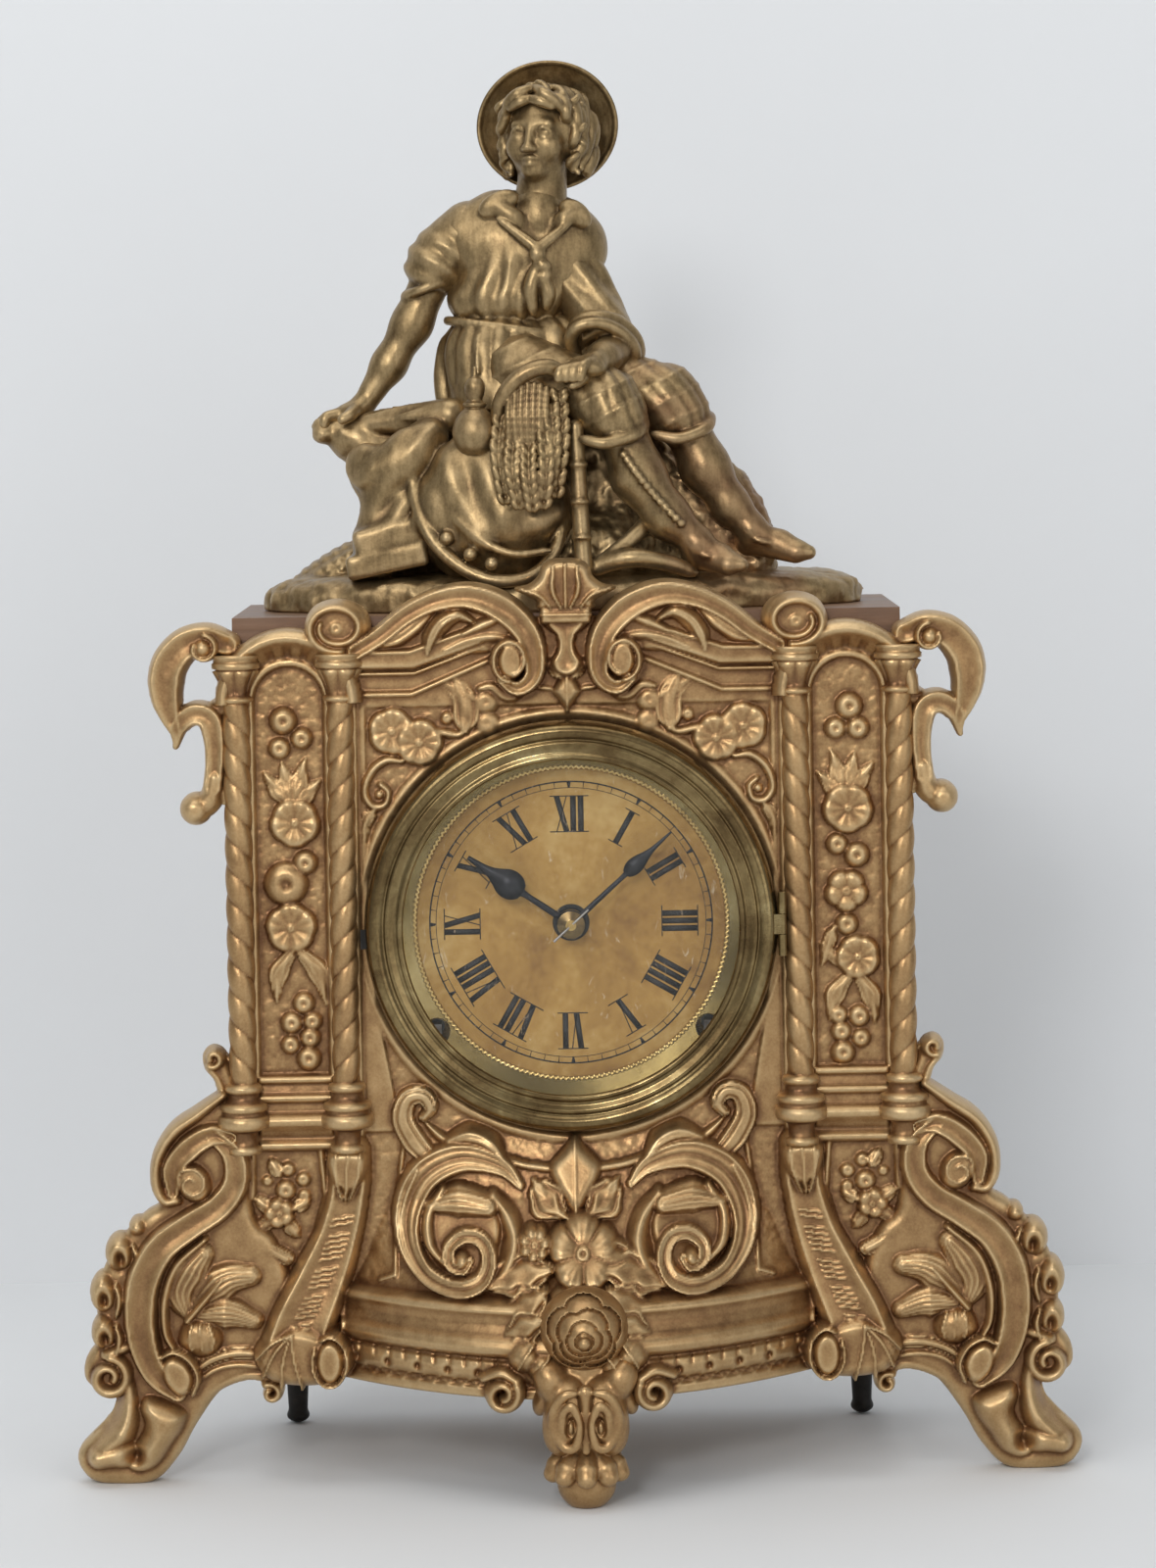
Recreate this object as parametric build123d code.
from build123d import *
import math
import os

# A mantel clock with a cast front, a wooden box behind it and a seated harvester on top.
# Millimetres. X runs to the viewer's right, Y to the back and Z up, so the front faces -Y.
# The origin is on the ground, under the middle of the clock.

# Wooden case
CASE_WIDTH = 242.0
CASE_DEPTH = 96.0
CASE_TOP_Z = 313.0
CASE_BOTTOM_Z = 38.0
BOARD = 8.0
BACK_PANEL = 6.0
ACCESS_WIDTH = 116.0
ACCESS_HEIGHT = 150.0
ACCESS_Z = 165.0
ACCESS_CORNER = 12.0
BLOCK_SIDE = 14.0
BLOCK_HEIGHT = 36.0
BLOCK_LENGTH = 24.0
REAR_FOOT_R = 8.5
REAR_FOOT_NECK_R = 5.5
REAR_FOOT_INSET = 13.0

# Back door
DOOR_LAP = 7.0
DOOR_SHEET = 2.0
DOOR_KNUCKLE_R = 2.0
DOOR_PIN_R = 1.0
DOOR_HINGE_HEIGHT = 36.0
DOOR_KNOB_R = 4.5
DOOR_KNOB_LENGTH = 6.0

# Front casting
CASTING_WALL = 5.0
SKIRT_BULGE = 60.0
FACADE_LAP = 3.0
FACADE_DROP = 2.0
FACADE_SHORT = 13.0
FOOT_REACH = 182.0
LEG_TOP_Z = 158.5
LEG_DEPTH = 17.0
CONSOLE_DEPTH = 24.0
CONSOLE_TOP_Z = 120.0
CONSOLE_REACH = 117.0
COLUMN_GAP = 7.5
OUTER_COLUMN_X = 119.3
COLUMN_R = 4.7
COLUMN_STAND = 3.5
COLUMN_FOOT_Z = 120.0
SHAFT_FOOT_Z = 146.0
SHAFT_TOP_Z = 283.0
CAPITAL_HEIGHT = 11.0
CAPITAL_R = 8.0
ABACUS_HEIGHT = 6.0
ARCH_Z = 284.0
ARCH_R = 23.0
ARCH_BAND = 9.5
ARCH_DEPTH = 6.0
CORNICE_Z = 301.0
CORNICE_HALF = 80.0
CORNICE_DEPTH = 6.5
SCROLL_TOP_Z = 324.0
SCROLL_REACH = 94.0
SCROLL_DEPTH = 9.0
SCROLL_BACK = 2.0
HANDLE_REACH = 151.0
HANDLE_TOP_Z = 314.0
HANDLE_DEPTH = 9.0
SKIRT_TOP_Z = 124.0
SKIRT_HALF = 84.0
SKIRT_SAG = 44.0
ROSE_R = 15.0
ROSE_Z = 66.0
CENTRE_FOOT_R = 12.0
CENTRE_FOOT_NECK_R = 16.0
CENTRE_FOOT_TOP_Z = 50.0

# Bezel, glass and dial
DIAL_Z = 200.5
DIAL_HOLE_R = 67.0
BEZEL_R = 74.5
BEZEL_LIP_R = 60.5
BEZEL_HEIGHT = 13.0
BEZEL_RIM = 2.5
GLASS_R = 64.0
GLASS_THICK = 2.0
GLASS_BACK = 8.5
PAPER_R = 57.0
PAPER_THICK = 0.3
DIAL_SHEET = 1.0
DIAL_SHEET_R = 70.0
SIGHT_SHEET = 0.8
SIGHT_HEIGHT = 6.0
HINGE_R = 1.5
HINGE_PIN_R = 0.8
HINGE_HEIGHT = 23.0
HINGE_STAND = 10.0
HINGE_LEAF = 0.8
CATCH_HEIGHT = 7.0
CATCH_THICK = 1.2
KEYHOLE_R = 5.0

# Hands
MINUTE_LENGTH = 49.5
HOUR_LENGTH = 44.0
HAND_SHEET = 0.6
HAND_GAP = 1.2
HAND_WIDTH = 1.5
MINUTE_EYE_R = 3.2
HOUR_EYE_R = 5.2
MINUTE_SPADE_R = 2.6
HOUR_SPADE_R = 4.6
MINUTE_SHOWN = 8.0
HOUR_SHOWN = 10.0
COLLET_R = 5.0
COLLET_THICK = 1.6
TAPER_PIN_R = 0.5
TAPER_PIN_LENGTH = 17.0

# Movement frame
PLATE_WIDTH = 130.0
PLATE_RISE = 59.5
PLATE_DROP = 59.5
PLATE_SHEET = 2.0
PLATE_GAP = 40.0
MOVEMENT_SETBACK = 11.0
PILLAR_R = 3.0
PILLAR_INSET = 6.5
PILLAR_SPREAD = 20.0
NUT_R = 3.6
NUT_HEIGHT = 2.2
STUD_R = 1.5
DIAL_FOOT_R = 1.2

# Trains: teeth and modules
MAIN_TEETH = 72
SECOND_PINION_TEETH = 18
SECOND_TEETH = 54
CENTRE_PINION_TEETH = 18
CENTRE_TEETH = 80
THIRD_PINION_TEETH = 8
THIRD_TEETH = 96
ESCAPE_PINION_TEETH = 8
FLY_PINION_TEETH = 9
CANNON_TEETH = 12
MINUTE_WHEEL_TEETH = 36
CANNON_MODULE = 0.5
MINUTE_PINION_TEETH = 10
HOUR_WHEEL_TEETH = 40
HOUR_MODULE = 0.48
ESCAPE_TEETH = 40
ESCAPE_R = 12.5
ESCAPE_TOOTH = 2.6
WINDING_X = 49.5
WINDING_DROP = 38.5
ESCAPE_RISE = 35.5
VERGE_RISE = 61.5
WHEEL_SHEET = 1.6
PINION_FACE = 5.0
ARBOR_R = 0.9
WINDING_ARBOR_R = 2.6
WINDING_SQUARE = 3.6
RATCHET_R = 9.0
RATCHET_TEETH = 24
RATCHET_THICK = 2.4
CLICK_LENGTH = 11.0
CLICK_WIDTH = 3.0
RUN_CLEAR = 0.05
SIDE_CLEAR = 0.3
CANNON_PIPE_R = 1.9
HOUR_PIPE_R = 2.8

# Springs, hammer, gong and pendulum
SPRING_TURNS = 7
SPRING_PITCH = 3.4
SPRING_STRIP = 1.0
SPRING_WIDTH = 17.0
GONG_TURNS = 4
GONG_PITCH = 5.2
GONG_WIRE = 2.2
GONG_EYE_R = 8.0
GONG_Z = 92.0
GONG_Y_GAP = 6.0
GONG_BLOCK_SIDE = 15.0
GONG_BLOCK_HEIGHT = 20.0
HAMMER_ARBOR_R = 1.2
HAMMER_X = -29.0
HAMMER_RISE = 4.5
HAMMER_HEAD_R = 4.5
HAMMER_HEAD_LENGTH = 14.0
HAMMER_ROD_R = 1.0
HAMMER_REST_GAP = 1.5
FLY_WIDTH = 17.0
FLY_LENGTH = 14.0
FLY_SHEET = 0.6
PENDULUM_LENGTH = 138.0
PENDULUM_Y_GAP = 10.0
ROD_R = 0.9
BOB_R = 19.0
BOB_THICK = 8.0
BOB_BORE_CLEAR = 0.08
RATING_NUT_R = 4.0
RATING_NUT_HEIGHT = 3.0
BOB_TRAVEL = 3.0
CRUTCH_WIRE = 1.2
PALLET_CLEAR = 0.8
SUSPENSION_STRIP = 0.4
COCK_WIDTH = 12.0
COCK_HEIGHT = 9.0

# Seated figure
FIGURE_HEIGHT = 203.0
FIGURE_LENGTH = 221.0
FIGURE_DEPTH = 80.0
FIGURE_SLAB = 13.0
FIGURE_STUD_R = 2.0
FIGURE_STUD_X = 55.0
FIGURE_NUT_R = 5.0
FIGURE_NUT_HEIGHT = 3.5

# Fasteners and one overrun for every cut
SCREW_R = 2.0
SCREW_HEAD_R = 3.8
SCREW_HEAD_HEIGHT = 2.4
SCREW_CLEAR = 0.1
SCREW_BITE = 4.0
OVERRUN = 1.0

# Depth places, from the front of the skirt to the knob of the back door
TOTAL_DEPTH = SKIRT_BULGE + CASTING_WALL + CASE_DEPTH + DOOR_SHEET + DOOR_KNOB_LENGTH
FRONT_Y = -TOTAL_DEPTH / 2
PANEL_Y = FRONT_Y + SKIRT_BULGE
CASE_Y = PANEL_Y + CASTING_WALL
BACK_Y = CASE_Y + CASE_DEPTH
PLATE_FRONT_Y = CASE_Y + MOVEMENT_SETBACK
TRAIN_Y = PLATE_FRONT_Y + PLATE_SHEET
PLATE_BACK_Y = TRAIN_Y + PLATE_GAP
MOVEMENT_BACK_Y = PLATE_BACK_Y + PLATE_SHEET
DIAL_FACE_Y = CASE_Y - PAPER_THICK
FIGURE_Y = (CASE_Y + BACK_Y) / 2

# Heights of the movement, from the middle of the dial
PLATE_TOP_Z = DIAL_Z + PLATE_RISE
PLATE_BOTTOM_Z = DIAL_Z - PLATE_DROP
WINDING_Z = DIAL_Z - WINDING_DROP
ESCAPE_Z = DIAL_Z + ESCAPE_RISE
VERGE_Z = DIAL_Z + VERGE_RISE
HAMMER_Z = DIAL_Z + HAMMER_RISE

# Modules of the going train, from the distances that each pair of gears has to span
MAIN_SPAN_SHARE = 0.68
SECOND_SPAN_SHARE = 0.345
CENTRE_SPAN_SHARE = 0.558
THIRD_SPAN_SHARE = 0.527
WINDING_SPAN = math.hypot(WINDING_X, WINDING_DROP)
MAIN_MODULE = 2 * MAIN_SPAN_SHARE * WINDING_SPAN / (MAIN_TEETH + SECOND_PINION_TEETH)
SECOND_MODULE = 2 * SECOND_SPAN_SHARE * WINDING_SPAN / (SECOND_TEETH + CENTRE_PINION_TEETH)
CENTRE_MODULE = 2 * CENTRE_SPAN_SHARE * ESCAPE_RISE / (CENTRE_TEETH + THIRD_PINION_TEETH)
THIRD_MODULE = 2 * THIRD_SPAN_SHARE * ESCAPE_RISE / (THIRD_TEETH + ESCAPE_PINION_TEETH)

# Widths inside the case
CASE_HALF = CASE_WIDTH / 2
INSIDE_HALF = CASE_HALF - BOARD

# Back of the casting, from the box that it covers
FACADE_HALF_WIDTH = CASE_HALF + FACADE_LAP
FACADE_BOTTOM_Z = CASE_BOTTOM_Z - FACADE_DROP
FACADE_TOP_Z = CASE_TOP_Z - FACADE_SHORT

# Inner columns stand beside the bezel
INNER_COLUMN_X = BEZEL_R + COLUMN_GAP

# Layers of the trains, as shares of the space between the plates
MAIN_LAYER_SHARE = 0.12
SPRING_LAYER_SHARE = 0.25
SECOND_LAYER_SHARE = 0.90
CENTRE_LAYER_SHARE = 0.50
THIRD_LAYER_SHARE = 0.72

# Teeth: heights as shares of the module, half widths as shares of half a tooth's pitch
ADDENDUM_SHARE = 0.72
DEDENDUM_SHARE = 1.0
TOOTH_SHARES = (
    (-0.62, "root"), (-0.40, "pitch"), (-0.16, "tip"), (0.16, "tip"), (0.40, "pitch"),
    (0.62, "root"),
)

# Small shares of single pieces
ESCAPE_LEAN_SHARE = 0.45
PALLET_SPREAD_SHARE = 0.62
RATCHET_ROOT_SHARE = 0.88
TAPER_SHARE = 0.6
DIAL_FOOT_SHARE = 0.66
DIAL_FOOT_TURNS = (90, 200, 340)
HOUR_SPADE_SHARE = 0.62
MINUTE_SPADE_SHARE = 0.66
CENTRE_FOOT_SINK_SHARE = 0.85
CENTRE_FOOT_WAIST_SHARE = 0.8
ROSE_STALK_SHARE = 0.9
BOB_PROFILE_SHARES = ((0.0, -1.0), (0.6, -0.8), (1.0, 0.0), (0.6, 0.8), (0.0, 1.0))
# Bezel: the front outline from the rim to the lip, as shares of the ring's width and height
BEZEL_SHARES = (
    (0.0, 0.45), (0.10, 0.72), (0.28, 0.82), (0.46, 0.70), (0.58, 0.82), (0.76, 1.0), (0.92, 0.96),
    (1.0, 0.86),
)
BEZEL_REBATE_SHARE = 0.45

# Outlines of the casting's right half, as shares of the reach and the height of each
LEG_SHARES = (
    (0.956, 0.0), (0.995, 0.032), (1.0, 0.076), (0.967, 0.117), (0.923, 0.151), (0.912, 0.196),
    (0.95, 0.208), (0.984, 0.24), (0.98, 0.29), (0.95, 0.34), (0.957, 0.4), (0.95, 0.47),
    (0.918, 0.55), (0.86, 0.62), (0.83, 0.645), (0.842, 0.7), (0.825, 0.77), (0.785, 0.82),
    (0.73, 0.865), (0.708, 0.91), (0.733, 0.945), (0.735, 0.985), (0.714, 1.0), (0.687, 0.975),
    (0.648, 0.883), (0.615, 0.757), (0.582, 0.6), (0.566, 0.44), (0.582, 0.315), (0.615, 0.245),
    (0.66, 0.24), (0.714, 0.208), (0.764, 0.132), (0.802, 0.057), (0.857, 0.0),
)
CONSOLE_SHARES = (
    (0.77, 1.0), (0.78, 0.9), (0.812, 0.767), (0.889, 0.617), (0.966, 0.483), (1.0, 0.4),
    (0.966, 0.325), (0.88, 0.3), (0.786, 0.308), (0.735, 0.367), (0.752, 0.45), (0.718, 0.567),
    (0.675, 0.717), (0.658, 0.867), (0.65, 1.0),
)
HANDLE_SHARES = (
    (0.79, 0.975), (0.841, 0.997), (0.90, 1.0), (0.96, 0.986), (0.997, 0.952), (1.0, 0.92),
    (0.973, 0.885), (0.934, 0.86), (0.915, 0.866), (0.941, 0.895), (0.947, 0.924), (0.927, 0.949),
    (0.887, 0.962), (0.841, 0.959), (0.79, 0.943),
)
HOOK_SHARES = (
    (0.79, 0.894), (0.881, 0.898), (0.93, 0.889), (0.944, 0.862), (0.914, 0.857), (0.881, 0.869),
    (0.854, 0.834), (0.861, 0.809), (0.89, 0.802), (0.927, 0.793), (0.93, 0.774), (0.894, 0.763),
    (0.848, 0.771), (0.79, 0.783),
)
SCROLL_SHARES = (
    (0.957, 0.932), (0.809, 0.934), (0.681, 0.954), (0.574, 0.975), (0.447, 0.986), (0.33, 0.981),
    (0.234, 0.96), (0.186, 0.935), (0.181, 0.914), (0.213, 0.898), (0.17, 0.886), (0.117, 0.901),
    (0.106, 0.929), (0.16, 0.963), (0.266, 0.989), (0.426, 1.0), (0.574, 0.992), (0.702, 0.974),
    (0.83, 0.963),
)
SCROLL_DISC_SHARES = ((0.894, 0.96, 0.105), (0.223, 0.912, 0.08))
PALMETTE_SHARES = (
    (0.085, 0.865), (0.053, 0.9), (0.048, 0.935), (0.09, 0.957), (0.095, 0.978), (0.125, 1.003),
    (0.085, 1.018),
)
CORNICE_SHARES = ((1.0, 0.944), (0.69, 0.944), (0.34, 0.987), (0.0, 0.987))
CORNICE_TOP_SHARES = ((0.0, 1.033), (0.34, 1.033), (0.71, 1.0), (1.0, 1.0))
COLUMN_BASE_SHARES = ((0.0, 0.346, 1.53), (0.346, 0.69, 1.92), (0.69, 0.81, 1.4), (0.81, 1.0, 1.32))
# Skirt sections: height, half width and swell, as shares of the top, the half width and the sag
SKIRT_SHARES = (
    (1.0, 0.76, 0.05), (0.83, 0.80, 0.24), (0.64, 0.92, 0.66), (0.55, 1.0, 0.92), (0.43, 1.0, 1.0),
    (0.29, 1.0, 0.96),
)

# Figure: places as shares of its length, depth and height, radii as shares of its height
SEAT_SHARES = (
    (0.064, -0.19, 0.21, 0.30), (0.20, -0.18, 0.19, 0.29), (0.32, -0.20, 0.17, 0.26),
    (0.365, -0.20, 0.15, 0.22),
)
TORSO_SHARES = (
    (0.365, -0.11, 0.105, 0.17), (0.46, -0.10, 0.085, 0.15), (0.62, -0.075, 0.115, 0.17),
    (0.715, -0.07, 0.09, 0.12),
)
NECK_SHARES = ((-0.05, -0.02, 0.70), (-0.045, -0.04, 0.80), 0.037, 0.031)
HEAD_SHARES = ((-0.045, -0.06, 0.862), (0.058, 0.066, 0.08))
HAT_PLACE_SHARES = (-0.023, 0.10, 0.882)
HAT_BRIM_R_SHARE = 0.118
HAT_BRIM_SHARE = 0.02
HAT_CROWN_R_SHARE = 0.075
HAT_CROWN_SHARE = 0.06
HAT_TAPER_SHARE = 0.8
HAT_LEAN = 20.0
LEFT_LEG_SHARES = ((0.02, -0.14, 0.42), (0.23, -0.36, 0.365), (0.33, -0.30, 0.13), (0.42, -0.33, 0.094))
RIGHT_LEG_SHARES = ((-0.08, -0.16, 0.40), (0.135, -0.46, 0.35), (0.235, -0.42, 0.115), (0.30, -0.46, 0.082))
RIGHT_ARM_SHARES = (
    (-0.21, 0.03, 0.675), (-0.295, 0.06, 0.50), (-0.355, -0.02, 0.375), (-0.395, -0.04, 0.35),
)
LEFT_ARM_SHARES = ((0.06, 0.03, 0.68), (0.12, -0.12, 0.48), (0.05, -0.40, 0.445), (0.015, -0.44, 0.44))
LEG_R_SHARES = (0.088, 0.07, 0.045, 0.034)
ARM_R_SHARES = (0.062, 0.048, 0.032, 0.028)
SHEAF_SHARES = ((-0.065, -0.47, 0.20), (-0.065, -0.45, 0.41), 0.05, 0.062)
GOURD_SHARES = (((-0.155, -0.46, 0.335), 0.046), ((-0.145, -0.45, 0.40), 0.024))


def front_plane(y):
    """Plane that faces the viewer, with its own x along X and its own y along Z."""
    return Plane(origin=(0, y, 0), x_dir=(1, 0, 0), z_dir=(0, -1, 0))


def slab(face, back_y, depth):
    """An outline in X and Z, extruded towards the front."""
    return extrude(front_plane(back_y) * face, amount=depth)


def rod_y(x, z, radius, front_y, back_y):
    """Round bar along Y."""
    return Pos(x, (front_y + back_y) / 2, z) * Rot(90, 0, 0) * Cylinder(radius, back_y - front_y)


def bar(start, end, radius, end_radius=None):
    """Round bar, straight or tapered, between two points."""
    start = Vector(*start)
    along = Vector(*end) - start
    seat = Plane(origin=start, z_dir=along) * Pos(0, 0, along.length / 2)
    if end_radius is None:
        return seat * Cylinder(radius, along.length)
    return seat * Cone(radius, end_radius, along.length)


def block(x_range, y_range, z_range):
    """Box between three pairs of limits."""
    size = [high - low for low, high in (x_range, y_range, z_range)]
    middle = [(high + low) / 2 for low, high in (x_range, y_range, z_range)]
    return Pos(*middle) * Box(*size)


def mirrored(shape):
    """The same shape on the other side of the clock."""
    return mirror(shape, about=Plane.YZ)


def both_sides(shape):
    """A shape with its mirror image."""
    return shape + mirrored(shape)


def scaled_points(shares, reach, height):
    """Points of an outline from its shares."""
    return [(reach * across, height * up) for across, up in shares]


def spline_face(points):
    """Face inside a smooth curve that a straight line closes."""
    return make_face([Spline(*points), Line(points[-1], points[0])])


def closed_spline_face(points):
    """Face inside one smooth closed curve."""
    return make_face(Spline(*points, periodic=True))


def turned(profile, x, y):
    """Solid of revolution about a vertical line, from (radius, z) pairs."""
    outline = make_face(Polyline(*[(r, 0, z) for r, z in profile], close=True))
    return Pos(x, y, 0) * revolve(outline, Axis.Z)


def dial_turned(profile):
    """Solid of revolution about the dial's axis, from (radius, y) pairs."""
    outline = make_face(Polyline(*[(r, y, 0) for r, y in profile], close=True))
    return Pos(0, 0, DIAL_Z) * revolve(outline, Axis.Y)


def pitch_radius(teeth, module):
    """Pitch radius of a gear."""
    return teeth * module / 2


def gear_face(teeth, module, phase):
    """Flat outline of a gear whose first tooth points at the angle phase, in radians."""
    pitch = pitch_radius(teeth, module)
    radii = {"root": pitch - DEDENDUM_SHARE * module, "pitch": pitch, "tip": pitch + ADDENDUM_SHARE * module}
    half = math.pi / teeth
    points = []
    for tooth in range(teeth):
        middle = phase + 2 * half * tooth
        for share, level in TOOTH_SHARES:
            angle = middle + share * half
            points.append((radii[level] * math.cos(angle), radii[level] * math.sin(angle)))
    return make_face(Polyline(*points, close=True))


def gear(teeth, module, phase, place, front_y, thick, bore):
    """Gear at a place in X and Z, bored for its arbor."""
    face = gear_face(teeth, module, phase) - Circle(bore)
    return slab(Pos(*place) * face, front_y + thick, thick)


def mesh_phase(teeth, phase, place, other_teeth, other_place):
    """Phase of the other gear that puts its gap on the first gear's tooth."""
    line = math.atan2(other_place[1] - place[1], other_place[0] - place[0])
    turn_share = (line - phase) * teeth / (2 * math.pi)
    return line + math.pi - 2 * math.pi / other_teeth * (0.5 - turn_share)


def crossing(first, first_distance, second, second_distance, side):
    """Point at two distances from two places, on the named side of the line between them."""
    across = (second[0] - first[0], second[1] - first[1])
    length = math.hypot(*across)
    along = (first_distance**2 - second_distance**2 + length**2) / (2 * length)
    off = side * math.sqrt(first_distance**2 - along**2)
    unit = (across[0] / length, across[1] / length)
    return (first[0] + along * unit[0] - off * unit[1], first[1] + along * unit[1] + off * unit[0])


def spiral_face(eye_radius, pitch, strip, turns):
    """Flat spiral strip of half circles on two centres."""
    inner = []
    outer = []
    for half_turn in range(2 * turns):
        radius = eye_radius + half_turn * pitch / 2
        middle = (0, 0) if half_turn % 2 == 0 else (pitch / 2, 0)
        start = 180 * half_turn
        inner.append(CenterArc(middle, radius - strip / 2, start, 180))
        outer.append(CenterArc(middle, radius + strip / 2, start, 180))
    first = Line(inner[0] @ 0, outer[0] @ 0)
    last = Line(inner[-1] @ 1, outer[-1] @ 1)
    return make_face([*inner, *outer, first, last])


def layer_y(share, thick):
    """Front of a wheel whose layer is a share of the space between the plates."""
    return TRAIN_Y + PLATE_GAP * share - thick / 2


# Places of the arbors in X and Z
CENTRE_PLACE = (0.0, DIAL_Z)
TIME_MAIN_PLACE = (WINDING_X, WINDING_Z)
STRIKE_MAIN_PLACE = (-WINDING_X, WINDING_Z)
ESCAPE_PLACE = (0.0, ESCAPE_Z)
MAIN_REACH = pitch_radius(MAIN_TEETH + SECOND_PINION_TEETH, MAIN_MODULE)
SECOND_REACH = pitch_radius(SECOND_TEETH + CENTRE_PINION_TEETH, SECOND_MODULE)
CENTRE_REACH = pitch_radius(CENTRE_TEETH + THIRD_PINION_TEETH, CENTRE_MODULE)
THIRD_REACH = pitch_radius(THIRD_TEETH + ESCAPE_PINION_TEETH, THIRD_MODULE)
FLY_REACH = pitch_radius(SECOND_TEETH + FLY_PINION_TEETH, SECOND_MODULE)
MINUTE_REACH = pitch_radius(CANNON_TEETH + MINUTE_WHEEL_TEETH, CANNON_MODULE)
STRIKE_SECOND_TURN = math.radians(100)
FLY_TURN = math.radians(70)
MINUTE_WHEEL_TURN = math.radians(-60)


def reach_from(place, distance, angle):
    """Place at a distance and an angle from another."""
    return (place[0] + distance * math.cos(angle), place[1] + distance * math.sin(angle))


SECOND_PLACE = crossing(TIME_MAIN_PLACE, MAIN_REACH, CENTRE_PLACE, SECOND_REACH, 1)
THIRD_PLACE = crossing(CENTRE_PLACE, CENTRE_REACH, ESCAPE_PLACE, THIRD_REACH, -1)
STRIKE_SECOND_PLACE = reach_from(STRIKE_MAIN_PLACE, MAIN_REACH, STRIKE_SECOND_TURN)
FLY_PLACE = reach_from(STRIKE_SECOND_PLACE, FLY_REACH, FLY_TURN)
MINUTE_WHEEL_PLACE = reach_from(CENTRE_PLACE, MINUTE_REACH, MINUTE_WHEEL_TURN)
HAMMER_PLACE = (HAMMER_X, HAMMER_Z)
VERGE_PLACE = (0.0, VERGE_Z)
TRAIN_PLACES = (
    TIME_MAIN_PLACE, STRIKE_MAIN_PLACE, SECOND_PLACE, STRIKE_SECOND_PLACE,
    CENTRE_PLACE, THIRD_PLACE, FLY_PLACE, ESCAPE_PLACE,
)
POST_PLACES = [
    (side * (PLATE_WIDTH / 2 - PILLAR_INSET), z)
    for side in (-1, 1)
    for z in (PLATE_BOTTOM_Z + PILLAR_INSET, PLATE_TOP_Z - PILLAR_INSET)
]
PILLAR_PLACES = [
    (side * x, z)
    for side in (-1, 1)
    for x, z in (
        (PILLAR_SPREAD / 2, PLATE_BOTTOM_Z + PILLAR_INSET),
        (PLATE_WIDTH / 2 - PILLAR_SPREAD, PLATE_TOP_Z - PILLAR_INSET),
    )
]
BLOCK_PLACES = [
    (side * (INSIDE_HALF - BLOCK_SIDE / 2), z)
    for side in (-1, 1)
    for z in (CASE_BOTTOM_Z + BOARD + BLOCK_HEIGHT, CASE_TOP_Z - BOARD - BLOCK_HEIGHT / 2)
]


# Wooden case

def case_boards():
    """Top, bottom and two sides of the box."""
    full_y = (CASE_Y, BACK_Y)
    inner_z = (CASE_BOTTOM_Z + BOARD, CASE_TOP_Z - BOARD)
    top = block((-CASE_HALF, CASE_HALF), full_y, (CASE_TOP_Z - BOARD, CASE_TOP_Z))
    for side in (-1, 1):
        hole = Cylinder(FIGURE_STUD_R + SCREW_CLEAR, 2 * BOARD + OVERRUN)
        top -= Pos(side * FIGURE_STUD_X, FIGURE_Y, CASE_TOP_Z) * hole
    bottom = block((-CASE_HALF, CASE_HALF), full_y, (CASE_BOTTOM_Z, CASE_BOTTOM_Z + BOARD))
    right = block((INSIDE_HALF, CASE_HALF), full_y, inner_z)
    return {
        "case_top_board": top,
        "case_bottom_board": bottom,
        "case_left_side": mirrored(right),
        "case_right_side": right,
    }


def access_face(grow):
    """Rounded outline of the opening in the back, or of its lid when grown."""
    size = (ACCESS_WIDTH + 2 * grow, ACCESS_HEIGHT + 2 * grow)
    return Pos(0, ACCESS_Z) * RectangleRounded(*size, ACCESS_CORNER)


def back_panel():
    """Wooden back let in between the boards, with its access opening."""
    panel = block(
        (-INSIDE_HALF, INSIDE_HALF),
        (BACK_Y - BACK_PANEL, BACK_Y),
        (CASE_BOTTOM_Z + BOARD, CASE_TOP_Z - BOARD),
    )
    return panel - slab(access_face(0), BACK_Y + OVERRUN, BACK_PANEL + 2 * OVERRUN)


def corner_blocks():
    """Glued blocks that carry the screws of the casting."""
    blocks = []
    for x, z in BLOCK_PLACES:
        body = block(
            (x - BLOCK_SIDE / 2, x + BLOCK_SIDE / 2),
            (CASE_Y, CASE_Y + BLOCK_LENGTH),
            (z - BLOCK_HEIGHT / 2, z + BLOCK_HEIGHT / 2),
        )
        ends = (CASE_Y - OVERRUN, CASE_Y + BLOCK_LENGTH + OVERRUN)
        blocks.append(body - rod_y(x, z, SCREW_R + SCREW_CLEAR, *ends))
    return Compound(children=blocks)


def casting_screws():
    """Screws from inside the case into the casting."""
    screws = []
    for x, z in BLOCK_PLACES:
        head_y = CASE_Y + BLOCK_LENGTH
        shank = rod_y(x, z, SCREW_R, CASE_Y - SCREW_BITE, head_y)
        screws.append(shank + rod_y(x, z, SCREW_HEAD_R, head_y, head_y + SCREW_HEAD_HEIGHT))
    return Compound(children=screws)


def rear_feet():
    """Turned feet under the back corners."""
    profile = (
        (0, 0), (REAR_FOOT_NECK_R, 0), (REAR_FOOT_R, CASE_BOTTOM_Z / 4), (REAR_FOOT_R, CASE_BOTTOM_Z / 2),
        (REAR_FOOT_NECK_R, CASE_BOTTOM_Z * 3 / 4), (REAR_FOOT_R, CASE_BOTTOM_Z), (0, CASE_BOTTOM_Z),
    )
    foot = turned(profile, CASE_HALF - REAR_FOOT_INSET, BACK_Y - REAR_FOOT_INSET)
    return both_sides(foot)


# Back door, hung on the viewer's left

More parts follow.
